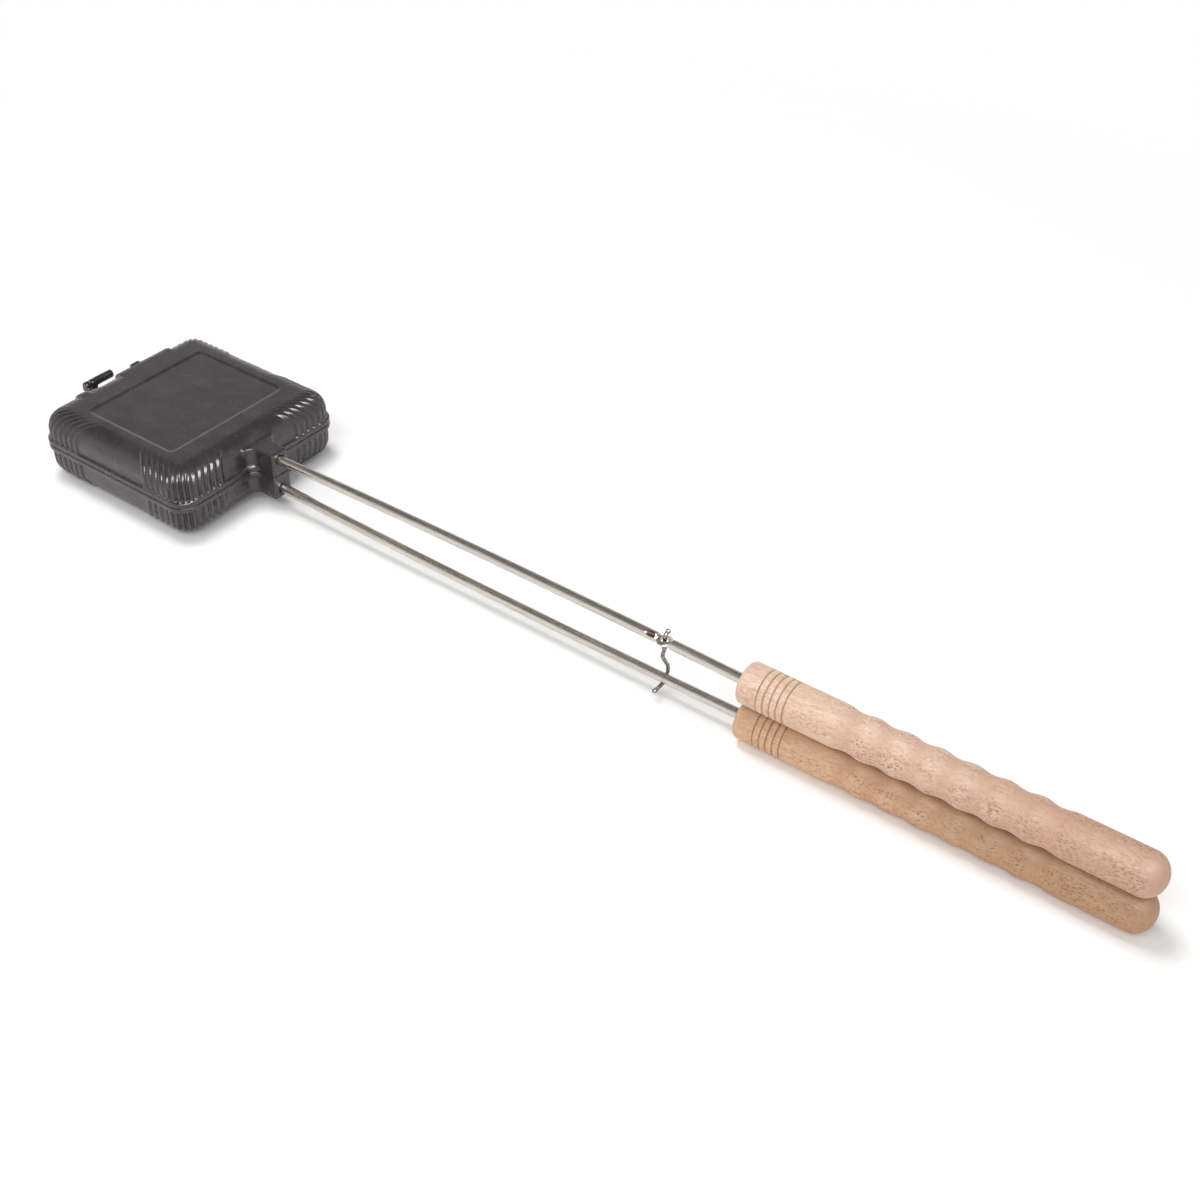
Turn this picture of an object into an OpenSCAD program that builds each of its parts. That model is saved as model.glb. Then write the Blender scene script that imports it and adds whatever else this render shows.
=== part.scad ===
// Pie iron: two cast iron shells that hook together at the far end and close
// over a filled sandwich, each on a steel rod with a turned beech handle.
// A bent wire latch hangs in an eye of the upper rod and hooks round the lower one.
// Millimetres. The origin is the middle of the lower shell's flat underside,
// +X runs towards the handles and +Z is up, with the iron closed and lying flat.

/* [Head] */
// Length of the head from hinge side to handle side, over the rims
head_l = 129; // [110:1:160]
// Width of the head over the rims
head_w = 132; // [110:1:160]
// Height of the upper shell above the seam
upper_h = 22.5; // [20:0.5:32]
// Depth of the lower shell below the seam
lower_h = 24; // [20:0.5:32]
// Thickness of the iron
wall = 4.5; // [3:0.25:6]
// Thickness of the rim round each shell
rim_t = 3.6; // [2.5:0.1:5]
// How far the rim stands out beyond the wall
rim_lip = 1.8; // [1:0.1:3]
// Corner radius of the rims
rim_corner_r = 11.5; // [8:0.5:14]
// Radius that rolls the walls into the flat faces
edge_r = 13; // [10:0.5:15]
// Sharper roll of the land between the flutes on the hinge side
land_r = 7.5; // [6:0.5:9]
// How far the land stops short of the round corners
land_inset = 14; // [12:0.5:18]
// Width of the notch in the land over the free end of the hinge barrel
notch_w = 26; // [20:0.5:30]
// Distance of the notch from the middle of the head
notch_off = 18; // [14:0.5:20]

/* [Panel] */
// Length of the sunk panel on the upper face
panel_l = 75; // [60:1:80]
// Width of the sunk panel on the upper face
panel_w = 93; // [60:1:96]
// Depth of the sunk panel
panel_sink = 0.6; // [0.3:0.1:1.2]
// Corner radius of the sunk panel
panel_corner_r = 4; // [2:0.5:8]

/* [Flutes] */
// Ribs wrapped round each corner of each shell
flute_count = 14; // [6:1:16]
// Distance from one rib to the next, square to the corner's diagonal
flute_pitch = 3.5; // [3:0.1:4.5]
// Width of a rib
flute_w = 2; // [1.2:0.1:2.5]
// Height of a rib above the wall
flute_rise = 1.1; // [0.5:0.1:1.4]

/* [Rod sockets] */
// How far the sockets reach beyond the rims
socket_reach = 16; // [12:0.5:24]
// Width of a socket
socket_w = 13; // [11:0.5:18]
// Height of a socket from the seam
socket_h = 16; // [15:0.5:19]
// Distance of a rod's axis from the seam in its socket
socket_axis = 10.4; // [9:0.1:12]
// Depth of the hole for the rod
socket_depth = 19; // [12:0.5:19]
// Radius of the fillets between socket and head
socket_fillet_r = 6; // [3:0.5:9]

/* [Hinge] */
// Distance of the hinge axis behind the rims
hinge_reach = 22.5; // [14:0.5:32]
// Height of the hinge axis above the seam
hinge_lift = 4.2; // [4:0.1:5]
// Width over the arm and the barrel
hinge_w = 22.5; // [22:0.5:36]
// Outer diameter of the barrel and of the arm's knuckle
hinge_d = 5.8; // [5.6:0.1:6.4]
// Width of the upper shell's arm and of the lower shell's post
hinge_arm_w = 4; // [3.5:0.25:6]
// Thickness of the arm
hinge_arm_t = 2.7; // [2.2:0.1:3]
// Gap between the arm and the barrel
hinge_side_gap = 0.4; // [0.3:0.1:1]
// Diameter of the hinge pin
hinge_pin_d = 3; // [2.8:0.1:3.2]
// Thickness of the pin across its flats, which lets it leave the barrel at a right angle
hinge_pin_flat = 2.2; // [2:0.1:2.3]
// Running clearance between the pin and the barrel, on the radius
hinge_gap = 0.1; // [0.05:0.01:0.1]
// Width of the slot in the barrel, which opens away from the head
hinge_slot = 2.4; // [2.4:0.1:2.5]

/* [Casting stub] */
// Length of the stub left on the upper shell's land
stub_l = 7; // [4:0.5:10]
// Diameter of the stub
stub_d = 2.8; // [2:0.1:3.4]
// Distance of the stub from the middle of the head
stub_off = 10.5; // [8:0.5:20]

/* [Rods] */
// Diameter of the rods
rod_d = 6; // [5:0.25:7]
// Length of rod that shows between socket and handle
rod_span = 337.5; // [250:0.5:420]
// How far each rod bows outward over that length
rod_bow = 1.9; // [0.8:0.1:4]
// Radius of the small bends where the bow meets the straight ends
rod_bend_r = 30; // [15:1:60]
// Length of rod inside the handle
rod_tail = 110; // [60:1:140]
// Clearance round the rods in sockets and handles, on the radius
rod_gap = 0.05; // [0.01:0.01:0.1]

/* [Handles] */
// Length of a handle
handle_l = 230; // [200:1:280]
// Largest diameter of a handle
handle_d = 24; // [20:0.5:30]
// Diameter of the tail of a handle
handle_tail_d = 23.6; // [19:0.1:29]
// Gap between the closed handles
handle_gap = 0.3; // [0.3:0.1:2]
// Rounding of the front edge
handle_front_r = 3; // [1:0.5:6]
// Turned rings near the front
ring_count = 5; // [0:1:6]
// Distance from the front to the first ring
ring_start = 13; // [8:0.5:16]
// Distance from one ring to the next
ring_pitch = 4; // [3:0.25:5]
// Width of a ring at the surface
ring_w = 1.6; // [1:0.1:2]
// Depth of a ring
ring_depth = 0.8; // [0.4:0.1:1.2]
// Finger hollows along the grip
grip_count = 7; // [1:1:7]
// Distance from the front to the middle of the first finger hollow
grip_start = 64.5; // [58:0.5:70]
// Distance from one finger hollow to the next
grip_pitch = 18; // [16:0.5:19]
// Depth of a finger hollow
grip_depth = 1.2; // [0.4:0.1:2]

/* [Latch] */
// Distance from the handle's front back to the eye
latch_back = 51.5; // [40:0.5:80]
// Diameter of the flattened eye in the upper rod
eye_d = 9.6; // [9.2:0.1:12]
// Thickness of the flattened eye
eye_t = 2.6; // [2:0.1:3.5]
// Diameter of the hole through the eye
eye_hole_d = 5.2; // [5.2:0.1:6]
// Length of rod that is pressed flat
eye_l = 8; // [6:0.5:12]
// Diameter of the latch wire
wire_d = 2.2; // [1.6:0.1:2.5]
// Gap between the hook and the lower rod
wire_gap = 0.4; // [0.3:0.1:1]
// How far the finger end sticks out on the near side of the lower rod
wire_tip = 7.5; // [5:0.5:14]
// Diameter of the beads on the wire
bead_d = 3; // [2.8:0.1:3.4]

/* [Hidden] */

// How far a cut runs past the face it opens
over = 1;
// Facets of rounds in the preview: large rolls, small rounds, and the shallow bow of a rod
fn_roll = 64;
fn_small = 48;
fn_bow = 3600;
// Die marks: a ring a hair larger than the bar where a straight run meets a bend
mark_l = 0.3;
mark_rise = 0.02;

// Head
seam_z = lower_h;
// Gap under the parts of one casting that pass over the rim of the other
seam_gap = 0.3;
front_x = head_l / 2;
dome_l = head_l - 2 * rim_lip;
dome_w = head_w - 2 * rim_lip;
socket_x = front_x + socket_reach;
socket_seat_x = socket_x - socket_depth;

land_w = dome_w - 2 * edge_r - 2 * land_inset;
// Slope of the land's roll where the stub sits
stub_slope = 54;

// Hinge
hinge_x = -front_x - hinge_reach;
hinge_z = seam_z + hinge_lift;
knuckle_r = hinge_d / 2;
barrel_l = hinge_w - hinge_arm_w - hinge_side_gap;
barrel_bore_r = hinge_pin_d / 2 + hinge_gap;
pin_recess = 0.5;
post_t = rim_t - seam_gap;

// Handles lie parallel, the lower one on the same surface as the head
handle_x = socket_x + rod_span;
handle_r = handle_d / 2;
lower_handle_z = handle_r;
upper_handle_z = lower_handle_z + handle_d + handle_gap;

// Rods: straight in the socket, bend, long bow, bend back, straight in the handle
lower_socket_z = seam_z - socket_axis;
upper_socket_z = seam_z + socket_axis;
lower_rise = lower_socket_z - lower_handle_z;
upper_rise = upper_handle_z - upper_socket_z;
function chord(rise) = sqrt(pow(rod_span, 2) + pow(rise, 2));
function bow_sum(rise) = (pow(chord(rise) / 2, 2) + pow(rod_bow, 2)) / (2 * rod_bow);
function bow_half(rise) = asin(chord(rise) / (2 * bow_sum(rise)));
function bow_lean(rise) = atan2(rise, rod_span);
function bend_out(rise) = bow_half(rise) + bow_lean(rise);
function bend_in(rise) = bow_half(rise) - bow_lean(rise);
// Height of a rod's axis above its socket axis, at a distance from the socket
function bow_height(rise, run) =
    let (out = bend_out(rise),
         r = bow_sum(rise) - rod_bend_r,
         mid_run = bow_sum(rise) * sin(out),
         crown = rod_bend_r * (1 - cos(out)) + r * (1 - cos(out)))
    crown - r + sqrt(pow(r, 2) - pow(run - mid_run, 2));

// Latch, on the two rods where it hangs
eye_x = handle_x - latch_back;
eye_run = eye_x - socket_x;
eye_z = upper_socket_z + bow_height(upper_rise, eye_run);
caught_z = lower_socket_z - bow_height(lower_rise, eye_run);
hook_r = (rod_d + wire_d) / 2 + wire_gap;
jog_r = 3;
jog_turn = 24;
jog_back = 54;
jog_back_r = 4;
sweep_r = 5;
sweep_turn = jog_back - jog_turn;
jog_line = 1.6;
stem_l = 5;
// Sideways place after the jog, then the slanted run and the drop that reach the lower rod
jog_y = -jog_r * (1 - cos(jog_turn)) - jog_line * sin(jog_turn)
        + jog_back_r * (cos(jog_turn) - cos(sweep_turn));
slant_l = (hook_r - jog_y - sweep_r * (1 - cos(sweep_turn))) / sin(sweep_turn);
jog_drop = stem_l + jog_r * sin(jog_turn) + jog_line * cos(jog_turn)
           + jog_back_r * (sin(sweep_turn) + sin(jog_turn));
drop_l = eye_z - caught_z - jog_drop - slant_l * cos(sweep_turn) - sweep_r * sin(sweep_turn);
head_line = 2.2;
head_bend_r = 2;
head_turn = 62;

// Handle outline, its round stretches in steps of an angle
grip_half = grip_pitch / 2;
grip_from = grip_start - grip_half;
grip_to = grip_start + (grip_count - 1) * grip_pitch + grip_half;
grip_points = 8;
grip_steps = grip_points * grip_count;
tail_r = handle_tail_d / 2;
tail_dome = 0.9 * tail_r;
round_step = 10;
function grip_r(u) = handle_r - grip_depth * (1 - cos(360 * u * grip_count)) / 2
                     - (handle_r - tail_r) * u;

iron = [0.17, 0.165, 0.17];
steel = [0.72, 0.71, 0.69];
beech = [0.87, 0.72, 0.58];
beech_dark = [0.80, 0.63, 0.47];

// ---- shared shapes -------------------------------------------------------

// Flat plate with round corners, upward from z = 0
module round_plate(l, w, r, t) {
    linear_extrude(t) {
        square([l - 2 * r, w], center = true);
        square([l, w - 2 * r], center = true);
        for (sx = [-1, 1], sy = [-1, 1])
            translate([sx * (l / 2 - r), sy * (w / 2 - r)])
                circle(r = r, $fn = fn_roll);
    }
}

// Block with round corners and a rolled top edge, upward from z = 0
module dome(l, w, h, r) {
    intersection() {
        rolled_block(l, w, h, r);
        translate([-l, -w, 0])
            cube([2 * l, 2 * w, 2 * h]);
    }
}

module rolled_block(l, w, h, r) {
    cx = l / 2 - r;
    cy = w / 2 - r;
    translate([-cx, -w / 2, 0])
        cube([2 * cx, w, h - r]);
    translate([-l / 2, -cy, 0])
        cube([l, 2 * cy, h - r]);
    translate([-cx, -cy, 0])
        cube([2 * cx, 2 * cy, h]);
    for (sx = [-1, 1], sy = [-1, 1])
        translate([sx * cx, sy * cy, 0]) {
            cylinder(r = r, h = h - r, $fn = fn_roll);
            translate([0, 0, h - r])
                sphere(r = r, $fn = fn_roll);
        }
    for (sy = [-1, 1])
        translate([-cx, sy * cy, h - r])
            rotate([0, 90, 0])
                cylinder(r = r, h = 2 * cx, $fn = fn_roll);
    for (sx = [-1, 1])
        translate([sx * cx, -cy, h - r])
            rotate([-90, 0, 0])
                cylinder(r = r, h = 2 * cy, $fn = fn_roll);
}

// Ribs wrapped over each corner, parallel to its diagonal
module flutes(h) {
    reach = flute_count * flute_pitch;
    intersection() {
        dome(dome_l + 2 * flute_rise, dome_w + 2 * flute_rise, h, edge_r);
        for (sx = [-1, 1], sy = [-1, 1])
            translate([sx * (dome_l / 2 - edge_r), sy * (dome_w / 2 - edge_r), 0])
                rotate([0, 0, 45 * sx * sy + (sx < 0 ? 180 : 0)])
                    for (i = [0 : flute_count - 1])
                        translate([-reach / 2, (i - (flute_count - 1) / 2) * flute_pitch - flute_w / 2, 0])
                            cube([reach + 2 * edge_r, flute_w, h]);
    }
}

// One half of the head, standing on the seam, with its rod socket but no hinge
module half_head(h) {
    difference() {
        union() {
            round_plate(head_l, head_w, rim_corner_r, rim_t);
            dome(dome_l, dome_w, h, edge_r);
            flutes(h);
            hinge_land(h);
            socket_block();
        }
        translate([0, 0, -over])
            dome(dome_l - 2 * wall, dome_w - 2 * wall, h - wall + over, edge_r - wall);
        translate([socket_seat_x, 0, socket_axis])
            rotate([0, 90, 0])
                cylinder(r = rod_d / 2 + rod_gap, h = socket_depth + over, $fn = fn_small);
    }
}

// Land between the flutes on the hinge side, with its notch
module hinge_land(h) {
    difference() {
        translate([-dome_l / 2, land_w / 2, 0])
            rotate([90, 0, 0])
                linear_extrude(land_w) {
                    square([edge_r, h - land_r]);
                    translate([land_r, 0])
                        square([edge_r - land_r, h]);
                    translate([land_r, h - land_r])
                        circle(r = land_r, $fn = fn_roll);
                }
        translate([-dome_l / 2 - over, -notch_off - notch_w / 2, -over])
            cube([edge_r + land_r, notch_w, h + 2 * over]);
    }
}

// Block that takes the rod, with fillets where it leaves the rim and the wall
module socket_block() {
    root_x = front_x - rim_lip - wall / 2;
    linear_extrude(socket_h)
        socket_outline(root_x, front_x - rim_lip);
    linear_extrude(rim_t)
        socket_outline(root_x, front_x);
}

module socket_outline(root_x, face_x) {
    r = socket_fillet_r;
    translate([root_x, -socket_w / 2])
        square([socket_x - root_x, socket_w]);
    difference() {
        translate([root_x, -socket_w / 2 - r])
            square([face_x - root_x + r, socket_w + 2 * r]);
        for (sy = [-1, 1])
            translate([face_x + r, sy * (socket_w / 2 + r)])
                circle(r = r, $fn = fn_small);
    }
}

// Round bar along +X that bends in the XZ plane. Each step is [length, 0] for a
// straight run or [radius, angle] for a bend, upward where the angle is positive.
module bent_bar(steps, d, fn_turn, i = 0) {
    if (i < len(steps)) {
        run = steps[i][0];
        turn = steps[i][1];
        if (i > 0)
            translate([-mark_l / 2, 0, 0])
                rotate([0, 90, 0])
                    cylinder(r = d / 2 + mark_rise, h = mark_l, $fn = fn_small);
        if (turn == 0) {
            rotate([0, 90, 0])
                cylinder(d = d, h = run, $fn = fn_small);
            translate([run, 0, 0])
                bent_bar(steps, d, fn_turn, i + 1);
        } else {
            side = turn > 0 ? 0 : 1;
            mirror([0, 0, side])
                translate([0, 0, run])
                    rotate([90, 90, 0])
                        rotate_extrude(angle = abs(turn), $fn = fn_turn)
                            translate([run, 0])
                                circle(d = d, $fn = fn_small);
            translate([run * sin(abs(turn)), 0, sign(turn) * run * (1 - cos(turn))])
                rotate([0, -turn, 0])
                    bent_bar(steps, d, fn_turn, i + 1);
        }
    }
}

// Rod from the bottom of its socket to its end in the handle, bowing towards +Z
module rod(rise) {
    bent_bar([[socket_depth, 0],
              [rod_bend_r, bend_out(rise)],
              [bow_sum(rise) - rod_bend_r, -bend_out(rise) - bend_in(rise)],
              [rod_bend_r, bend_in(rise)],
              [rod_tail, 0]], rod_d, fn_bow);
}

// Turned handle along +X with its blind bore, front face at x = 0
module handle() {
    rotate([90, 0, 90])
        rotate_extrude($fn = fn_roll)
            difference() {
                handle_outline();
                for (i = [0 : 1 : ring_count - 1])
                    translate([handle_r, ring_start + i * ring_pitch])
                        polygon([[-ring_depth, 0], [over, -ring_w], [over, ring_w]]);
                square([rod_d / 2 + rod_gap, rod_tail]);
            }
}

// Half section of a handle: radius along x, distance from the front along y
module handle_outline() {
    intersection() {
        polygon(concat(
            [[0, 0],
             [handle_r - handle_front_r, 0]],
            [for (a = [0 : round_step : 90])
                [handle_r - handle_front_r * (1 - sin(a)), handle_front_r * (1 - cos(a))]],
            [for (i = [0 : grip_steps])
                [grip_r(i / grip_steps), grip_from + (grip_to - grip_from) * i / grip_steps]],
            [[tail_r, handle_l - tail_dome]],
            [for (a = [0 : round_step : 90])
                [tail_r * cos(a), handle_l - tail_dome + tail_dome * sin(a)]]));
        square([handle_d, handle_l]);
    }
}

// ---- nodes ---------------------------------------------------------------

// Lower casting: a post reaches out at the hinge and carries a slotted barrel
module lower_shell() {
    color(iron) {
        translate([0, 0, seam_z])
            mirror([0, 0, 1])
                half_head(lower_h);
        hinge_barrel();
    }
}

// The barrel stands on one post next to the arm, and its other end is free
module hinge_barrel() {
    foot = hinge_lift + rim_t;
    translate([hinge_x, hinge_w / 2, hinge_z])
        rotate([90, 0, 0])
            difference() {
                union() {
                    cylinder(r = knuckle_r, h = barrel_l, $fn = fn_small);
                    translate([0, 0, barrel_l - hinge_arm_w])
                        linear_extrude(hinge_arm_w) {
                            translate([-knuckle_r, -foot])
                                square([hinge_d, foot]);
                            translate([0, -foot])
                                square([hinge_reach + rim_lip, post_t]);
                        }
                }
                translate([0, 0, -over])
                    cylinder(r = barrel_bore_r, h = barrel_l + 2 * over, $fn = fn_small);
                translate([-hinge_d, -hinge_slot / 2, -over])
                    cube([hinge_d, hinge_slot, barrel_l + 2 * over]);
            }
}

// Upper casting: one arm carries the hinge pin, and the face has a sunk bare panel
module upper_shell() {
    color(iron) {
        translate([0, 0, seam_z])
            difference() {
                half_head(upper_h);
                translate([0, 0, upper_h - panel_sink])
                    round_plate(panel_l, panel_w, panel_corner_r, panel_sink + over);
            }
        hinge_arm();
        casting_stub();
    }
}

module hinge_arm() {
    pin_l = hinge_w - hinge_arm_w / 2 - pin_recess;
    foot = hinge_lift - seam_gap;
    translate([hinge_x, hinge_arm_w - hinge_w / 2, hinge_z]) {
        rotate([90, 0, 0]) {
            cylinder(r = knuckle_r, h = hinge_arm_w, $fn = fn_small);
            linear_extrude(hinge_arm_w) {
                translate([-knuckle_r, -foot])
                    square([hinge_d, foot]);
                translate([0, -foot])
                    square([hinge_reach + rim_lip, hinge_arm_t]);
            }
        }
        translate([0, -hinge_arm_w / 2, 0])
            intersection() {
                rotate([-90, 0, 0])
                    cylinder(d = hinge_pin_d, h = pin_l, $fn = fn_small);
                translate([-hinge_pin_flat / 2, 0, -hinge_pin_d])
                    cube([hinge_pin_flat, pin_l, 2 * hinge_pin_d]);
            }
    }
}

// Short round stub on the roll of the land
module casting_stub() {
    translate([-dome_l / 2 + land_r * (1 - cos(stub_slope)), stub_off,
               seam_z + upper_h - land_r * (1 - sin(stub_slope))])
        rotate([90, 0, 0])
            cylinder(d = stub_d, h = stub_l, center = true, $fn = fn_small);
}

module lower_rod() {
    color(steel)
        translate([socket_seat_x, 0, lower_socket_z])
            mirror([0, 0, 1])
                rod(lower_rise);
}

// Upper rod: pressed flat and drilled where the latch hangs
module upper_rod() {
    color(steel)
        difference() {
            union() {
                difference() {
                    translate([socket_seat_x, 0, upper_socket_z])
                        rod(upper_rise);
                    for (sz = [-1, 1])
                        translate([eye_x, 0, eye_z + sz * (eye_t + rod_d) / 2])
                            cube([eye_l, 2 * rod_d, rod_d], center = true);
                }
                translate([eye_x, 0, eye_z - eye_t / 2])
                    cylinder(d = eye_d, h = eye_t, $fn = fn_small);
            }
            translate([eye_x, 0, eye_z - rod_d])
                cylinder(d = eye_hole_d, h = 2 * rod_d, $fn = fn_small);
        }
}

module lower_handle() {
    color(beech_dark)
        translate([handle_x, 0, lower_handle_z])
            handle();
}

module upper_handle() {
    color(beech)
        translate([handle_x, 0, upper_handle_z])
            handle();
}

// Latch wire, bent in the plane across the rods: a bent head above the eye, an S
// that brings it to the far side of the lower rod, and a hook with a finger end
module latch_hook() {
    color(steel)
        translate([eye_x, 0, eye_z]) {
            rotate([0, -90, -90]) {
                bent_bar([[head_line, 0],
                          [head_bend_r, head_turn],
                          [head_bend_r, 0]], wire_d, fn_small);
                translate([head_line + head_bend_r * sin(head_turn) + head_bend_r * cos(head_turn), 0,
                           head_bend_r * (1 - cos(head_turn)) + head_bend_r * sin(head_turn)])
                    sphere(d = bead_d, $fn = fn_small);
            }
            rotate([0, 90, -90])
                bent_bar([[stem_l, 0],
                          [jog_r, jog_turn],
                          [jog_line, 0],
                          [jog_back_r, -jog_back],
                          [slant_l, 0],
                          [sweep_r, sweep_turn],
                          [drop_l, 0],
                          [hook_r, 90],
                          [wire_tip, 0]], wire_d, fn_small);
            translate([0, 0, -stem_l])
                sphere(d = bead_d, $fn = fn_small);
            translate([0, -wire_tip, caught_z - eye_z - hook_r])
                sphere(d = bead_d, $fn = fn_small);
        }
}

lower_shell();
upper_shell();
lower_rod();
upper_rod();
lower_handle();
upper_handle();
latch_hook();
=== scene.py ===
import math
import bpy
from mathutils import Matrix, Vector


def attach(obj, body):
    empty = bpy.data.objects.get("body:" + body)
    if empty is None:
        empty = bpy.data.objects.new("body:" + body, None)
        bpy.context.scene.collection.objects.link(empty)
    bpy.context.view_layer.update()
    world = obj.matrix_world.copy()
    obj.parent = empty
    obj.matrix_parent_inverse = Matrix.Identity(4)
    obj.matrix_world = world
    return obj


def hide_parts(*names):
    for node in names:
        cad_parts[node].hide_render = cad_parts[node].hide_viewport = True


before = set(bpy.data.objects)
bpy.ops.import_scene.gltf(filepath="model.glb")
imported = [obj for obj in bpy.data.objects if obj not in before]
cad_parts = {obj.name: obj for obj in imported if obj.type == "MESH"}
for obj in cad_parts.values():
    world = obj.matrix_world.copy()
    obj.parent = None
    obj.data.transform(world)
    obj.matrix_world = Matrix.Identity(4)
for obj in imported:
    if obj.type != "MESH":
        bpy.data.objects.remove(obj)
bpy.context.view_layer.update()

# Pie iron: cast iron head, two steel rods, turned beech handles, wire latch.
# Metres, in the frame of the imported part: +X runs to the handles, +Z is up.

bpy.context.scene.view_settings.view_transform = "Standard"

weldDistance = 1e-6  # points closer than this are made one


# small tools for modelling

def selectOnly(piece):
    bpy.ops.object.select_all(action="DESELECT")
    piece.select_set(True)
    bpy.context.view_layer.objects.active = piece


def applyModifier(piece, kind, **settings):
    selectOnly(piece)
    modifier = piece.modifiers.new(kind.lower(), kind)
    for name, value in settings.items():
        setattr(modifier, name, value)
    bpy.ops.object.modifier_apply(modifier=modifier.name)


def copyOfNode(node, name):
    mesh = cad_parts[node].data.copy()
    mesh.materials.clear()
    piece = bpy.data.objects.new(name, mesh)
    bpy.context.scene.collection.objects.link(piece)
    selectOnly(piece)
    bpy.ops.object.mode_set(mode="EDIT")
    bpy.ops.mesh.select_all(action="SELECT")
    bpy.ops.mesh.remove_doubles(threshold=weldDistance)
    bpy.ops.mesh.customdata_custom_splitnormals_clear()
    bpy.ops.object.mode_set(mode="OBJECT")
    return piece


def closeUp(piece, smoothAngle):
    # merge doubles, turn the faces outwards, smooth the shading
    selectOnly(piece)
    bpy.ops.object.mode_set(mode="EDIT")
    bpy.ops.mesh.select_all(action="SELECT")
    bpy.ops.mesh.remove_doubles(threshold=weldDistance)
    bpy.ops.mesh.normals_make_consistent(inside=False)
    bpy.ops.object.mode_set(mode="OBJECT")
    bpy.ops.object.transform_apply(location=True, rotation=True, scale=True)
    bpy.ops.object.shade_smooth_by_angle(angle=math.radians(smoothAngle))


def fitPiece(piece, node, body, material):
    piece.data.materials.clear()
    piece.data.materials.append(material)
    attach(piece, body)
    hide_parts(node)


# small tools for shaders

def plug(tree, socket, value):
    if isinstance(value, bpy.types.NodeSocket):
        tree.links.new(value, socket)
    else:
        socket.default_value = value


def addNode(tree, kind, *values, **settings):
    made = tree.nodes.new("ShaderNode" + kind)
    for name, value in settings.items():
        setattr(made, name, value)
    for i, value in enumerate(values):
        if value is not None:
            plug(tree, made.inputs[i], value)
    return made


def calc(tree, operation, a, b=None, clamp=False):
    return addNode(tree, "Math", a, b, operation=operation, use_clamp=clamp).outputs[0]


def vectorCalc(tree, operation, a, b=None):
    made = addNode(tree, "VectorMath", a, b, operation=operation)
    givesNumber = operation in ("LENGTH", "DISTANCE", "DOT_PRODUCT")
    return made.outputs["Value" if givesNumber else "Vector"]


def stretch(tree, vector, amount):
    return vectorCalc(tree, "MULTIPLY", vector, amount)


def mapRange(tree, value, fromLow, fromHigh, toLow=0.0, toHigh=1.0, smooth=False):
    made = addNode(tree, "MapRange", value, fromLow, fromHigh, toLow, toHigh)
    made.interpolation_type = "SMOOTHSTEP" if smooth else "LINEAR"
    return made.outputs[0]


def mixColour(tree, factor, a, b, blend="MIX"):
    made = addNode(tree, "Mix", data_type="RGBA", blend_type=blend)
    plug(tree, made.inputs["Factor"], factor)
    plug(tree, made.inputs["A"], a)
    plug(tree, made.inputs["B"], b)
    return made.outputs["Result"]


def noise(tree, vector, scale, detail=2.0, roughness=0.5, distortion=0.0):
    made = addNode(tree, "TexNoise")
    plug(tree, made.inputs["Vector"], vector)
    plug(tree, made.inputs["Scale"], scale)
    plug(tree, made.inputs["Detail"], detail)
    plug(tree, made.inputs["Roughness"], roughness)
    plug(tree, made.inputs["Distortion"], distortion)
    return made.outputs["Fac"]


def objectCoords(tree):
    return addNode(tree, "TexCoord").outputs["Object"]


def bump(tree, height, distance, strength):
    made = addNode(tree, "Bump")
    made.inputs["Strength"].default_value = strength
    made.inputs["Distance"].default_value = distance
    plug(tree, made.inputs["Height"], height)
    return made.outputs["Normal"]


def newGroup(name, inputs, outputs):
    group = bpy.data.node_groups.new(name, "ShaderNodeTree")
    for label, kind, value in inputs:
        socketType = "NodeSocket" + kind
        socket = group.interface.new_socket(name=label, in_out="INPUT", socket_type=socketType)
        if value is not None:
            socket.default_value = value
    for label in outputs:
        group.interface.new_socket(name=label, in_out="OUTPUT", socket_type="NodeSocketFloat")
    source = group.nodes.new("NodeGroupInput").outputs
    result = group.nodes.new("NodeGroupOutput").inputs
    return group, source, result


def useGroup(tree, group, values):
    made = tree.nodes.new("ShaderNodeGroup")
    made.node_tree = group
    for name, value in values.items():
        plug(tree, made.inputs[name], value)
    return made.outputs


def newMaterial(name):
    material = bpy.data.materials.new(name)
    material.use_nodes = True
    tree = material.node_tree
    shader = next(n for n in tree.nodes if n.type == "BSDF_PRINCIPLED")
    return material, tree, shader


# shared effects; sizes of noise are cells to the metre

def makeEdgeWear():
    # worn mask on outer edges, broken up by noise
    group, given, made = newGroup(
        "edgeWear",
        [("Vector", "Vector", None), ("Breakup", "Float", 400.0),
         ("From", "Float", 0.52), ("To", "Float", 0.62)],
        ["Mask"])
    pointiness = addNode(group, "NewGeometry").outputs["Pointiness"]
    edge = mapRange(group, pointiness, given["From"], given["To"])
    spots = noise(group, given["Vector"], given["Breakup"], 3.0, 0.6)
    broken = mapRange(group, spots, 0.35, 0.65, 0.35, 1.0)
    plug(group, made["Mask"], calc(group, "MULTIPLY", edge, broken, clamp=True))
    return group


def makeStains():
    # soft clouds and, over them, small specks
    group, given, made = newGroup(
        "stains",
        [("Vector", "Vector", None), ("Clouds", "Float", 60.0),
         ("Specks", "Float", 500.0), ("Cover", "Float", 0.3)],
        ["Cloud", "Speck"])
    clouds = noise(group, given["Vector"], given["Clouds"], 4.0, 0.55, 0.4)
    specks = noise(group, given["Vector"], given["Specks"], 2.0, 0.5)
    plug(group, made["Cloud"], mapRange(group, clouds, 0.3, 0.7))
    start = calc(group, "SUBTRACT", 0.85, given["Cover"])
    top = calc(group, "ADD", start, 0.12)
    plug(group, made["Speck"], mapRange(group, specks, start, top))
    return group


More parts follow.
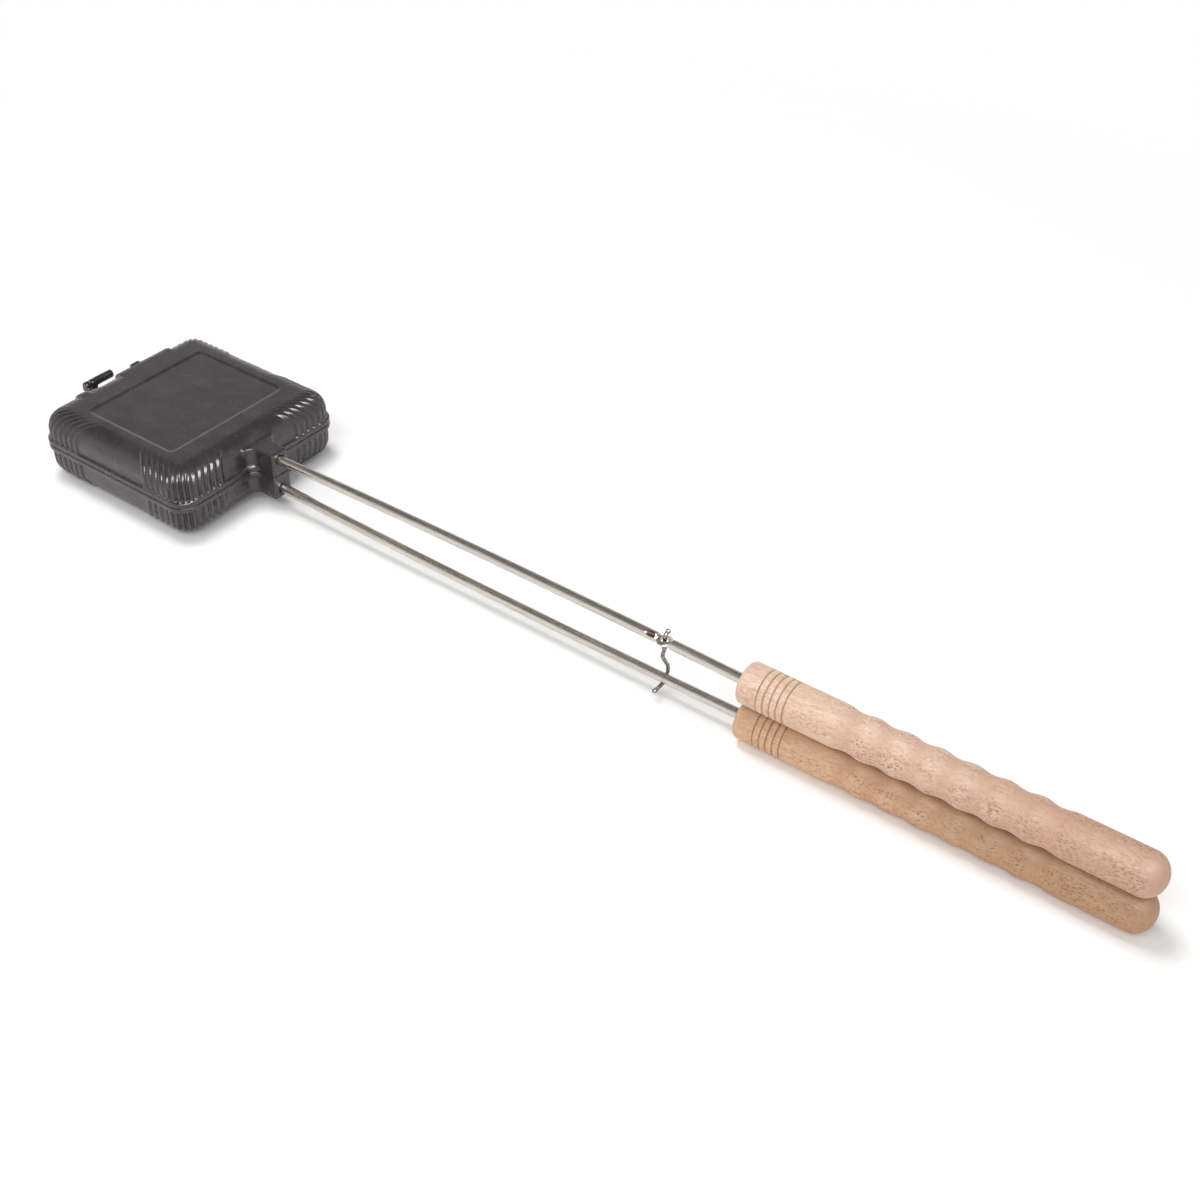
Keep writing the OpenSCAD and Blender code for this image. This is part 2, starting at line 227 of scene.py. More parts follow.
def makeCastGrain():
    # sand-cast skin as one height: fine grain and slow waves, less shallow pits
    group, given, made = newGroup(
        "castGrain",
        [("Vector", "Vector", None), ("Grain", "Float", 1100.0), ("Pits", "Float", 260.0)],
        ["Height"])
    grain = noise(group, given["Vector"], given["Grain"], 3.0, 0.6)
    lumps = noise(group, given["Vector"], given["Pits"], 2.0, 0.5)
    waveSize = calc(group, "MULTIPLY", given["Pits"], 0.25)
    waves = noise(group, given["Vector"], waveSize, 1.0, 0.5)
    fine = calc(group, "MULTIPLY", grain, 0.45)
    slow = calc(group, "MULTIPLY", waves, 1.6)
    pits = calc(group, "MULTIPLY", mapRange(group, lumps, 0.62, 0.74), 0.35)
    plug(group, made["Height"], calc(group, "SUBTRACT", calc(group, "ADD", fine, slow), pits))
    return group


def makeDrawnLines():
    # fine lines and wider bands left by the die, along X
    group, given, made = newGroup(
        "drawnLines",
        [("Vector", "Vector", None), ("Fineness", "Float", 2600.0)],
        ["Line", "Band"])
    fineLines = stretch(group, given["Vector"], (0.012, 1.0, 1.0))
    plug(group, made["Line"], noise(group, fineLines, given["Fineness"], 2.0, 0.6))
    wideLines = stretch(group, given["Vector"], (0.03, 1.0, 1.0))
    bandSize = calc(group, "MULTIPLY", given["Fineness"], 0.25)
    plug(group, made["Band"], noise(group, wideLines, bandSize, 3.0, 0.5))
    return group


beechGrain = {
    "drift": (12.0, 40.0, 40.0),  # cells along and across the grain
    "driftReach": 0.005,
    "fibre": (45.0, 1500.0, 1500.0),
    "clouds": (14.0, 70.0, 70.0),
    "curl": (190.0, 560.0, 560.0),
    "flecks": (430.0, 1250.0, 1250.0),
    "fleckEdge": 0.46,  # a fleck fades from fleckCore out to here, in cells
    "fleckCore": 0.28,
}


def makeBeechFigure():
    # growth rings about a far pith, fibre streaks and short dark ray flecks, all along X
    group, given, made = newGroup(
        "beechFigure",
        [("Vector", "Vector", None), ("Pith", "Vector", (0.0, -0.05, -0.03)),
         ("Ring Width", "Float", 0.0013), ("Fleck Cover", "Float", 0.5)],
        ["Ring", "Fibre", "Fleck", "Cloud", "Curl"])
    place = given["Vector"]
    drift = noise(group, stretch(group, place, beechGrain["drift"]), 1.0, 2.0)
    fromPith = vectorCalc(group, "SUBTRACT", place, given["Pith"])
    distance = vectorCalc(group, "LENGTH", stretch(group, fromPith, (0.0, 1.0, 1.0)))
    drift = calc(group, "MULTIPLY", drift, beechGrain["driftReach"])
    turns = calc(group, "DIVIDE", calc(group, "ADD", distance, drift), given["Ring Width"])
    plug(group, made["Ring"], calc(group, "POWER", calc(group, "FRACT", turns), 3.0))
    fibre = stretch(group, place, beechGrain["fibre"])
    plug(group, made["Fibre"], noise(group, fibre, 1.0, 3.0, 0.6))
    clouds = stretch(group, place, beechGrain["clouds"])
    plug(group, made["Cloud"], noise(group, clouds, 1.0, 3.0, 0.55))
    curl = stretch(group, place, beechGrain["curl"])
    plug(group, made["Curl"], noise(group, curl, 1.0, 3.0, 0.65, 1.4))
    cells = addNode(group, "TexVoronoi", feature="F1", voronoi_dimensions="3D")
    plug(group, cells.inputs["Vector"], stretch(group, place, beechGrain["flecks"]))
    cells.inputs["Scale"].default_value = 1.0
    reach = cells.outputs["Distance"]
    dash = mapRange(group, reach, beechGrain["fleckEdge"], beechGrain["fleckCore"], smooth=True)
    chance = addNode(group, "SeparateColor", cells.outputs["Color"]).outputs[0]
    chosen = calc(group, "LESS_THAN", chance, given["Fleck Cover"])
    plug(group, made["Fleck"], calc(group, "MULTIPLY", dash, chosen))
    return group


edgeWear = makeEdgeWear()
stains = makeStains()
castGrain = makeCastGrain()
drawnLines = makeDrawnLines()
beechFigure = makeBeechFigure()


# finishes

ironFinish = {
    "black": (0.026, 0.0195, 0.022, 1.0),
    "grey": (0.042, 0.033, 0.0365, 1.0),
    "wearAndPaintedShade": (0.10, 0.094, 0.096, 1.0),
    "rust": (0.10, 0.035, 0.018, 1.0),
    "wearShare": 0.3,
    "wearPolish": 0.08,
    "roughLow": 0.17,
    "roughHigh": 0.31,
    "roughPatches": 180.0,
    "ior": 1.58,
    "grainHeight": 0.0001,
    "boreMouth": (0.0815, 0.0, 0.0344),  # where the rod has let rust form
    "rustReach": 0.0052,
    "rustCore": 0.6,  # share of the reach that is rust all over
    "rustRagged": 0.0016,
    "rustRough": 0.3,
}


def makeIron(finish):
    material, tree, shader = newMaterial("seasonedIron")
    place = objectCoords(tree)
    grain = useGroup(tree, castGrain, {"Vector": place})
    cloud = useGroup(tree, stains, {"Vector": place, "Clouds": 45.0})["Cloud"]
    wear = useGroup(tree, edgeWear, {"Vector": place, "Breakup": 350.0, "From": 0.55, "To": 0.7})["Mask"]
    colour = mixColour(tree, cloud, finish["black"], finish["grey"])
    # on the iron this mixes in real edge wear only
    wearAndPaintedShade = calc(tree, "MULTIPLY", wear, finish["wearShare"])
    colour = mixColour(tree, wearAndPaintedShade, colour, finish["wearAndPaintedShade"])
    reach = vectorCalc(tree, "DISTANCE", place, finish["boreMouth"])
    ragged = calc(tree, "MULTIPLY", noise(tree, place, 700.0, 2.0), finish["rustRagged"])
    core = finish["rustReach"] * finish["rustCore"]
    rust = mapRange(tree, calc(tree, "ADD", reach, ragged), finish["rustReach"], core, smooth=True)
    colour = mixColour(tree, rust, colour, finish["rust"])
    plug(tree, shader.inputs["Base Color"], colour)
    patches = noise(tree, place, finish["roughPatches"], 3.0)
    rough = mapRange(tree, patches, 0.3, 0.7, finish["roughLow"], finish["roughHigh"])
    rough = calc(tree, "SUBTRACT", rough, calc(tree, "MULTIPLY", wear, finish["wearPolish"]))
    rustRough = calc(tree, "MULTIPLY", rust, finish["rustRough"])
    plug(tree, shader.inputs["Roughness"], calc(tree, "ADD", rough, rustRough, clamp=True))
    shader.inputs["IOR"].default_value = finish["ior"]
    plug(tree, shader.inputs["Normal"], bump(tree, grain["Height"], finish["grainHeight"], 0.7))
    return material


steelFinish = {
    "bright": (0.64, 0.60, 0.545, 1.0),
    "dull": (0.34, 0.305, 0.27, 1.0),
    "stain": (0.22, 0.16, 0.12, 1.0),
    "dullShare": 0.55,
    "stainShare": 0.5,
    "roughLow": 0.15,
    "roughHigh": 0.27,
    "cloudRough": 0.06,
    "lineHeight": 0.00003,
}
dent = {
    "middle": (0.3587, -0.0021, 0.0392),
    "size": (0.0042, 0.0014, 0.0014),  # half sizes of the oval that presses it
    "deep": 0.0008,
    "slope": 45.0,  # degrees up from the rod's -Y side
    "rust": (0.23, 0.165, 0.13, 1.0),
    "rustReach": (0.0040, 0.0021, 0.0021),
    "rustCore": 0.72,
}


def makeSteel(finish):
    material, tree, shader = newMaterial("drawnSteel")
    place = objectCoords(tree)
    lines = useGroup(tree, drawnLines, {"Vector": place})
    marks = useGroup(tree, stains, {"Vector": place, "Clouds": 70.0, "Specks": 900.0, "Cover": 0.24})
    streak = mapRange(tree, lines["Band"], 0.42, 0.7)
    streak = calc(tree, "MULTIPLY", streak, finish["dullShare"])
    colour = mixColour(tree, streak, finish["bright"], finish["dull"])
    stain = calc(tree, "MULTIPLY", marks["Speck"], finish["stainShare"])
    colour = mixColour(tree, stain, colour, finish["stain"])
    # old rust sits in the pressed dent beside the eye
    shrink = tuple(1 / reach for reach in dent["rustReach"])
    away = stretch(tree, vectorCalc(tree, "SUBTRACT", place, dent["middle"]), shrink)
    inDent = mapRange(tree, vectorCalc(tree, "LENGTH", away), 1.0, dent["rustCore"], smooth=True)
    colour = mixColour(tree, inDent, colour, dent["rust"])
    plug(tree, shader.inputs["Base Color"], colour)
    shader.inputs["Metallic"].default_value = 1.0
    rough = mapRange(tree, lines["Line"], 0.3, 0.7, finish["roughLow"], finish["roughHigh"])
    clouded = calc(tree, "MULTIPLY", marks["Cloud"], finish["cloudRough"])
    plug(tree, shader.inputs["Roughness"], calc(tree, "ADD", rough, clouded))
    plug(tree, shader.inputs["Normal"], bump(tree, lines["Line"], finish["lineHeight"], 0.5))
    return material


wireFinish = {
    "bright": (0.36, 0.335, 0.31, 1.0),
    "dark": (0.045, 0.032, 0.028, 1.0),
    "dirtShare": 0.75,
    "speckShare": 0.6,
    "roughLow": 0.22,
    "roughHigh": 0.45,
    "pitHeight": 0.00012,
}


def makeWire(finish):
    material, tree, shader = newMaterial("wireLatch")
    place = objectCoords(tree)
    marks = useGroup(tree, stains, {"Vector": place, "Clouds": 520.0, "Specks": 1500.0, "Cover": 0.3})
    grain = useGroup(tree, castGrain, {"Vector": place, "Grain": 2600.0, "Pits": 900.0})
    dirt = mapRange(tree, marks["Cloud"], 0.38, 0.68)
    dirty = calc(tree, "MULTIPLY", dirt, finish["dirtShare"])
    colour = mixColour(tree, dirty, finish["bright"], finish["dark"])
    specks = calc(tree, "MULTIPLY", marks["Speck"], finish["speckShare"])
    colour = mixColour(tree, specks, colour, finish["dark"])
    plug(tree, shader.inputs["Base Color"], colour)
    shader.inputs["Metallic"].default_value = 1.0
    rough = mapRange(tree, dirt, 0.0, 1.0, finish["roughLow"], finish["roughHigh"])
    plug(tree, shader.inputs["Roughness"], rough)
    plug(tree, shader.inputs["Normal"], bump(tree, grain["Height"], finish["pitHeight"], 0.6))
    return material


paleBeech = {
    "name": "paleBeech",
    "light": (0.85, 0.68, 0.55, 1.0),
    "deep": (0.68, 0.475, 0.34, 1.0),
    "ring": (0.55, 0.335, 0.235, 1.0),
    "fleck": (0.30, 0.13, 0.085, 1.0),
    # burn marks and painted shade in the ring grooves
    "burnAndGrooveShade": (0.36, 0.20, 0.12, 1.0),
    "fleckCover": 0.85,
    # painted shade in the hollows of the grip
    "paintedHollowShade": 0.6,
    # painted shade towards the tail, where the light falls off
    "paintedTailShade": (0.77, 0.69, 0.65, 1.0),
    "pith": (0.0, -0.045, 0.05),
    "seed": (0.0, 0.0, 0.0),
}
tanBeech = {
    "name": "tanBeech",
    "light": (0.73, 0.495, 0.33, 1.0),
    "deep": (0.56, 0.35, 0.21, 1.0),
    "ring": (0.46, 0.265, 0.15, 1.0),
    "fleck": (0.24, 0.10, 0.06, 1.0),
    # burn marks and painted shade in the ring grooves
    "burnAndGrooveShade": (0.28, 0.145, 0.08, 1.0),
    "fleckCover": 0.6,
    # painted shade in the hollows of the grip
    "paintedHollowShade": 0.5,
    # painted shade towards the tail, where the light falls off
    "paintedTailShade": (0.74, 0.70, 0.64, 1.0),
    "pith": (0.0, -0.06, 0.02),
    "seed": (0.37, 0.21, 0.11),
}
beechWear = {
    "ringShare": 0.4,
    "fibreShare": 0.7,
    "curlShare": 0.72,
    "fleckShare": 0.88,
    "fleckPatches": (30.0, 150.0, 150.0),
    "fleckSide": (0.0, 0.93, 0.37),  # the way the rays run
    "fleckX": (0.44, 0.50),  # flecks get denser along the handle from here to here
    "fleckLeast": 0.3,
    "tailX": (0.46, 0.60),  # painted shade darkens the tail from here on
    "endX": 0.62,
    "endShare": 0.45,
    "shallow": 0.0002,  # painted hollow shade and groove shade start this far below the full radius
    "hollow": 0.0013,
    "groove": 0.0008,
    "burnAndGrooveShadeShare": 0.7,
    "roughLow": 0.5,
    "roughHigh": 0.64,
    "gloss": 0.35,
    "poreHeight": 0.00012,
}


def makeBeech(finish, axisZ, grooveFrom, grooveTo, fullRadius):
    material, tree, shader = newMaterial(finish["name"])
    place = objectCoords(tree)
    along = addNode(tree, "SeparateXYZ", place).outputs["X"]
    local = vectorCalc(tree, "SUBTRACT", place, (0.0, 0.0, axisZ))
    moved = vectorCalc(tree, "ADD", local, finish["seed"])
    pith = tuple(a + b for a, b in zip(finish["pith"], finish["seed"]))
    figure = useGroup(
        tree, beechFigure, {"Vector": moved, "Pith": pith, "Fleck Cover": finish["fleckCover"]})
    cloud = mapRange(tree, figure["Cloud"], 0.32, 0.68)
    colour = mixColour(tree, cloud, finish["light"], finish["deep"])
    rings = calc(tree, "MULTIPLY", figure["Ring"], beechWear["ringShare"])
    colour = mixColour(tree, rings, colour, finish["ring"])
    fibre = mapRange(tree, figure["Fibre"], 0.35, 0.7, 0.0, beechWear["fibreShare"])
    colour = mixColour(tree, fibre, colour, finish["deep"])
    curl = mapRange(tree, figure["Curl"], 0.45, 0.64, 0.0, beechWear["curlShare"])
    colour = mixColour(tree, curl, colour, finish["ring"])
    # painted shade darkens the tail, and its end grain drinks more
    tailShadeShare = mapRange(tree, along, *beechWear["tailX"], smooth=True)
    colour = mixColour(tree, tailShadeShare, colour, finish["paintedTailShade"], "MULTIPLY")
    normal = addNode(tree, "TexCoord").outputs["Normal"]
    facingEnd = addNode(tree, "SeparateXYZ", normal).outputs["X"]
    endGrain = mapRange(tree, facingEnd, 0.25, 0.85, 0.0, beechWear["endShare"], smooth=True)
    atEnd = calc(tree, "GREATER_THAN", along, beechWear["endX"])
    colour = mixColour(tree, calc(tree, "MULTIPLY", endGrain, atEnd), colour, finish["ring"])
    # ray flecks show on the two faces cut across the rays, and more towards the tail
    spread = noise(tree, stretch(tree, moved, beechWear["fleckPatches"]), 1.0, 1.0)
    patches = mapRange(tree, spread, 0.28, 0.5)
    aside = calc(tree, "ABSOLUTE", vectorCalc(tree, "DOT_PRODUCT", local, beechWear["fleckSide"]))
    facing = mapRange(tree, aside, 0.1 * fullRadius, 0.7 * fullRadius, smooth=True)
    towardTail = mapRange(tree, along, *beechWear["fleckX"], beechWear["fleckLeast"], 1.0)
    fleck = calc(tree, "MULTIPLY", calc(tree, "MULTIPLY", figure["Fleck"], patches), facing)
    fleck = calc(tree, "MULTIPLY", fleck, towardTail)
    flecked = calc(tree, "MULTIPLY", fleck, beechWear["fleckShare"])
    colour = mixColour(tree, flecked, colour, finish["fleck"])
    # painted shade darkens the hollows, and the turned rings get burn marks and painted shade at the
    # bottom
    radius = vectorCalc(tree, "LENGTH", stretch(tree, local, (0.0, 1.0, 1.0)))
    shallow = fullRadius - beechWear["shallow"]
    # painted shade: the hollows darker the deeper they are
    wearAndPaintedShade = mapRange(tree, radius, shallow, fullRadius - beechWear["hollow"], 0.0, finish["paintedHollowShade"])
    colour = mixColour(tree, wearAndPaintedShade, colour, finish["ring"])
    deepCut = mapRange(tree, radius, shallow, fullRadius - beechWear["groove"])
    after = calc(tree, "GREATER_THAN", along, grooveFrom)
    before = calc(tree, "LESS_THAN", along, grooveTo)
    groove = calc(tree, "MULTIPLY", deepCut, calc(tree, "MULTIPLY", after, before))
    # burn marks and painted shade at the bottoms of the ring grooves
    burnAndGrooveShade = calc(tree, "MULTIPLY", groove, beechWear["burnAndGrooveShadeShare"])
    colour = mixColour(tree, burnAndGrooveShade, colour, finish["burnAndGrooveShade"])
    plug(tree, shader.inputs["Base Color"], colour)
    rough = mapRange(
        tree, figure["Fibre"], 0.3, 0.7, beechWear["roughLow"], beechWear["roughHigh"])
    plug(tree, shader.inputs["Roughness"], rough)
    shader.inputs["Specular IOR Level"].default_value = beechWear["gloss"]
    raised = calc(tree, "MULTIPLY", figure["Fibre"], 0.5)
    height = calc(tree, "SUBTRACT", raised, calc(tree, "MULTIPLY", fleck, 0.6))
    plug(tree, shader.inputs["Normal"], bump(tree, height, beechWear["poreHeight"], 0.6))
    return material


# cast iron head

castShell = {
    "voxel": 0.00058,
    "keep": 0.5,  # share of the faces kept, so that a shell stays light
    "softening": 4,
    "wobble": 0.00014,  # unevenness of the sand mould
    "wobbleSize": 0.014,
}


def makeShell(node, body, material):
    piece = copyOfNode(node, node + "_cast")
    applyModifier(piece, "REMESH", mode="VOXEL", voxel_size=castShell["voxel"], adaptivity=0.0)
    applyModifier(piece, "SMOOTH", factor=0.5, iterations=castShell["softening"])
    clouds = bpy.data.textures.new(node + "Mould", "CLOUDS")
    clouds.noise_scale = castShell["wobbleSize"]
    clouds.noise_depth = 1
    applyModifier(
        piece, "DISPLACE", texture=clouds, texture_coords="LOCAL",
        strength=castShell["wobble"], mid_level=1.0)  # only inwards
    applyModifier(piece, "DECIMATE", decimate_type="COLLAPSE", ratio=castShell["keep"])
    bpy.ops.object.shade_smooth()
    fitPiece(piece, node, body, material)
    print("cast", node, len(piece.data.polygons), "faces")


iron = makeIron(ironFinish)
makeShell("lower_shell", "lower", iron)
makeShell("upper_shell", "upper", iron)


# steel rods

rods = {
    "diameter": 0.006,
    "sides": 40,
    "seatX": 0.0615,  # the rod's end in its socket
    "socketX": 0.0805,  # the socket's mouth, where the first bend starts
    "span": 0.3375,  # from there to the end of the last bend
    "tail": 0.110,  # length inside the handle
    "bow": 0.0019,  # height of the long bow
    "bend": 0.030,  # radius of the bends at both ends of it
    "lowerZ": 0.0136,
    "lowerRise": 0.0016,
    "upperZ": 0.0344,
    "upperRise": 0.0019,
    "bendReach": 0.004,
    "eyeStep": 0.0004,
    "bendStep": 0.001,
    "longStep": 0.005,
    "lastStep": 0.012,  # least length of the last piece
    "smoothAngle": 40,
}
eye = {
    "x": 0.3665,
    "width": 0.0096,
    "thickness": 0.0026,
    "hole": 0.0052,
    "holeSides": 40,
    "drill": 0.02,  # length of the cutter
    "bevel": 0.00025,
    "bevelAngle": 50,
    "flat": 0.7,  # share of the width that is pressed to the full
    "pressedBefore": 0.0058,  # the rod thins from here to the eye
    "pressedAfter": 0.0054,
    "fineBefore": 0.014,  # points stand close from here to the eye
    "fineAfter": 0.01,
}


def rodHeight(run, rise):
    # height over the socket axis: bend, long bow, bend back
    span = rods["span"]
    bend = rods["bend"]
    chord = math.hypot(span, rise)
    bowRadius = ((chord / 2) ** 2 + rods["bow"] ** 2) / (2 * rods["bow"])
    half = math.asin(chord / (2 * bowRadius))
    lean = math.atan2(rise, span)
    firstEnd = bend * math.sin(half + lean)
    lastStart = span - bend * math.sin(half - lean)
    if run <= 0:
        return 0.0
    if run >= span:
        return rise
    if run < firstEnd:
        return bend - math.sqrt(bend ** 2 - run ** 2)
    if run > lastStart:
        return rise + bend - math.sqrt(bend ** 2 - (span - run) ** 2)
    arc = bowRadius - bend
    middle = bowRadius * math.sin(half + lean)
    crown = bowRadius * (1 - math.cos(half + lean))
    return crown - arc + math.sqrt(arc ** 2 - (run - middle) ** 2)


def smoothStep(value):
    value = min(max(value, 0.0), 1.0)
    return value * value * (3 - 2 * value)


def plainSection(x):
    return rods["diameter"] / 2, rods["diameter"] / 2


def pressedSection(x):
    # half width and half thickness of the upper rod near its eye
    full = rods["diameter"] / 2
    off = x - eye["x"]
    flatHalf = eye["width"] / 2
    flat = flatHalf * eye["flat"]
    reach = eye["pressedBefore"] if off < 0 else eye["pressedAfter"]
    pressed = 1 - smoothStep((abs(off) - flat) / (reach - flat))
    thick = full + (eye["thickness"] / 2 - full) * pressed
    bulge = math.sqrt(max(flatHalf ** 2 - off ** 2, 0.0))
    return max(full, bulge), thick


def rodStations(fineFrom=0.0, fineTo=0.0):
    # X of each ring of points, close together at the bends and from fineFrom to fineTo
    first = rods["socketX"]
    last = first + rods["span"]
    end = last + rods["tail"]
    stations = [rods["seatX"], first - rods["bendStep"]]
    x = first
    while x < end - rods["lastStep"]:
        stations.append(x)
        if fineFrom < x < fineTo:
            x += rods["eyeStep"]
        elif x < first + rods["bendReach"] or last - rods["bendReach"] < x < last + rods["bendReach"]:
            x += rods["bendStep"]
        else:
            x += rods["longStep"]
    return stations + [end]


def loftRod(name, baseZ, rise, side, section, stations):
    full = rods["diameter"] / 2
    heights = [baseZ + side * rodHeight(x - rods["socketX"], rise) for x in stations]
    centres = [Vector((x, 0.0, z)) for x, z in zip(stations, heights)]
    bpy.ops.object.select_all(action="DESELECT")
    bpy.ops.mesh.primitive_circle_add(
        vertices=rods["sides"], radius=full, fill_type="NGON", location=centres[0],
        rotation=(0.0, math.radians(90), 0.0))
    piece = bpy.context.object
    piece.name = name
    bpy.ops.object.transform_apply(location=True, rotation=True, scale=True)
    bpy.ops.object.mode_set(mode="EDIT")
    bpy.ops.mesh.select_all(action="SELECT")
    width, thick = full, full
    for before, now in zip(centres, centres[1:]):
        bpy.ops.mesh.extrude_region_move(TRANSFORM_OT_translate={"value": now - before})
        newWidth, newThick = section(now.x)
        if (newWidth, newThick) != (width, thick):
            bpy.ops.transform.resize(
                value=(1.0, newWidth / width, newThick / thick), center_override=now)
        width, thick = newWidth, newThick
    bpy.ops.object.mode_set(mode="OBJECT")
    closeUp(piece, rods["smoothAngle"])
    return piece


def upperRodHeight(x):
    return rods["upperZ"] + rodHeight(x - rods["socketX"], rods["upperRise"])


def pressDent(piece):
    # an oval dent in the side of the rod, towards -Y and up
    x = dent["middle"][0]
    slope = math.radians(dent["slope"])
    out = rods["diameter"] / 2 + dent["size"][2] - dent["deep"]
    centre = Vector((x, -out * math.cos(slope), upperRodHeight(x) + out * math.sin(slope)))
    bpy.ops.object.select_all(action="DESELECT")
    bpy.ops.mesh.primitive_uv_sphere_add(segments=40, ring_count=24, radius=1.0, location=centre)
    cutter = bpy.context.object
    cutter.scale = dent["size"]
    bpy.ops.object.transform_apply(location=True, rotation=True, scale=True)
    applyModifier(piece, "BOOLEAN", operation="DIFFERENCE", object=cutter, solver="EXACT")
    bpy.data.objects.remove(cutter)
    closeUp(piece, rods["smoothAngle"])


def cutEye(piece):
    bpy.ops.object.select_all(action="DESELECT")
    bpy.ops.mesh.primitive_cylinder_add(
        vertices=eye["holeSides"], radius=eye["hole"] / 2, depth=eye["drill"],
        location=(eye["x"], 0.0, upperRodHeight(eye["x"])))
    cutter = bpy.context.object
    applyModifier(piece, "BOOLEAN", operation="DIFFERENCE", object=cutter, solver="EXACT")
    bpy.data.objects.remove(cutter)
    applyModifier(
        piece, "BEVEL", width=eye["bevel"], segments=2, limit_method="ANGLE",
        angle_limit=math.radians(eye["bevelAngle"]))
    closeUp(piece, rods["smoothAngle"])


steel = makeSteel(steelFinish)
lowerRod = loftRod(
    "lower_rod_drawn", rods["lowerZ"], rods["lowerRise"], -1, plainSection, rodStations())
fitPiece(lowerRod, "lower_rod", "lower", steel)
eyeStations = rodStations(eye["x"] - eye["fineBefore"], eye["x"] + eye["fineAfter"])
upperRod = loftRod(
    "upper_rod_drawn", rods["upperZ"], rods["upperRise"], 1, pressedSection, eyeStations)
pressDent(upperRod)
cutEye(upperRod)
fitPiece(upperRod, "upper_rod", "upper", steel)
print("rods drawn")


# turned handles

handle = {
    "frontX": 0.418,
    "length": 0.230,
    "radius": 0.01199,
    "tailRadius": 0.0118,
    "frontRound": 0.003,
    "lowerZ": 0.012,
    "upperZ": 0.0363,
    "bore": 0.00305,
    "boreDepth": 0.110,
    "boreChamfer": 0.0006,
    "plainX": (0.036, 0.042, 0.049),  # points on the plain lengths, from the front
    "frontPlainX": 0.008,
    "tailPlainX": (0.190, 0.200, 0.210),
    "rings": 5,
    "ringStart": 0.013,
    "ringPitch": 0.004,
    "ringHalf": 0.00071,
    "ringDepth": 0.0008,
    "ringCurve": 0.35,  # 0 is a plain V groove
    "hollows": 7,
    "hollowStart": 0.0645,
    "hollowPitch": 0.018,
    "hollowDepth": 0.0012,
    "dome": 0.9,  # length of the tail's dome over its radius
    "roundSteps": 8,
    "ringSteps": 6,
    "hollowSteps": 16,
    "domeSteps": 18,
    "sides": 96,
    "smoothAngle": 50,
}


def handleProfile():
    # points (distance from the front, radius), from the bore's end round to the tail
    full = handle["radius"]
    mouth = handle["bore"] + handle["boreChamfer"]
    points = [(handle["boreDepth"], 0.0), (handle["boreDepth"], handle["bore"])]
    points += [(handle["boreChamfer"], handle["bore"]), (0.0, mouth)]
    points.append((0.0, (handle["bore"] + full) / 2))
    for step in range(handle["roundSteps"] + 1):
        angle = math.radians(90 * step / handle["roundSteps"])
        points.append((handle["frontRound"] * (1 - math.cos(angle)),
                       full - handle["frontRound"] * (1 - math.sin(angle))))
    points.append((handle["frontPlainX"], full))
    curve = handle["ringCurve"]
    for ring in range(handle["rings"]):
        middle = handle["ringStart"] + ring * handle["ringPitch"]
        for step in range(-handle["ringSteps"], handle["ringSteps"] + 1):
            share = abs(step) / handle["ringSteps"]
            cut = handle["ringDepth"] * (1 - smoothStep(share) * curve - share * (1 - curve))
            points.append((middle + handle["ringHalf"] * step / handle["ringSteps"], full - cut))
    for x in handle["plainX"]:
        points.append((x, full))
    gripFrom = handle["hollowStart"] - handle["hollowPitch"] / 2
    gripLength = handle["hollows"] * handle["hollowPitch"]
    steps = handle["hollows"] * handle["hollowSteps"]
    for step in range(steps + 1):
        share = step / steps
        wave = (1 - math.cos(math.tau * share * handle["hollows"])) / 2
        taper = (full - handle["tailRadius"]) * share
        points.append((gripFrom + gripLength * share, full - handle["hollowDepth"] * wave - taper))
    for x in handle["tailPlainX"]:
        points.append((x, handle["tailRadius"]))
    dome = handle["tailRadius"] * handle["dome"]
    for step in range(handle["domeSteps"] + 1):
        angle = math.radians(90 * step / handle["domeSteps"])
        points.append((handle["length"] - dome + dome * math.sin(angle),
                       handle["tailRadius"] * math.cos(angle)))
    return points


def turnHandle(name, axisZ):
    axis = Vector((handle["frontX"], 0.0, axisZ))
    points = [axis + Vector((along, 0.0, radius)) for along, radius in handleProfile()]
    bpy.ops.object.select_all(action="DESELECT")
    bpy.ops.mesh.primitive_plane_add(size=0.001, location=points[0])
    piece = bpy.context.object
    piece.name = name
    bpy.ops.object.transform_apply(location=True, rotation=True, scale=True)
    bpy.ops.object.mode_set(mode="EDIT")
    bpy.ops.mesh.select_all(action="SELECT")
    bpy.ops.mesh.merge(type="CENTER")
    for before, now in zip(points, points[1:]):
        bpy.ops.mesh.extrude_region_move(TRANSFORM_OT_translate={"value": now - before})
    bpy.ops.mesh.select_all(action="SELECT")
    bpy.ops.mesh.spin(steps=handle["sides"], angle=math.tau, center=axis, axis=(1.0, 0.0, 0.0))
    bpy.ops.object.mode_set(mode="OBJECT")
    closeUp(piece, handle["smoothAngle"])
    return piece


# the burn marks and painted groove shade may reach from half a pitch before the first ring to one pitch
# past the last
grooveFrom = handle["frontX"] + handle["ringStart"] - handle["ringPitch"] / 2
grooveTo = grooveFrom + handle["rings"] * handle["ringPitch"] + handle["ringPitch"] / 2
for finish, z, node, body, slot in (
        (tanBeech, handle["lowerZ"], "lower_handle", "lower", "beech_tan"),
        (paleBeech, handle["upperZ"], "upper_handle", "upper", "beech_pale")):
    beech = makeBeech(finish, z, grooveFrom, grooveTo, handle["radius"])
    turned = turnHandle(node + "_turned", z)
    fitPiece(turned, node, body, beech)
print("handles turned")


# wire latch

latch = {
    "voxel": 0.00017,
    "softening": 3,
    "rough": 0.0002,
    "roughSize": 0.0016,
}


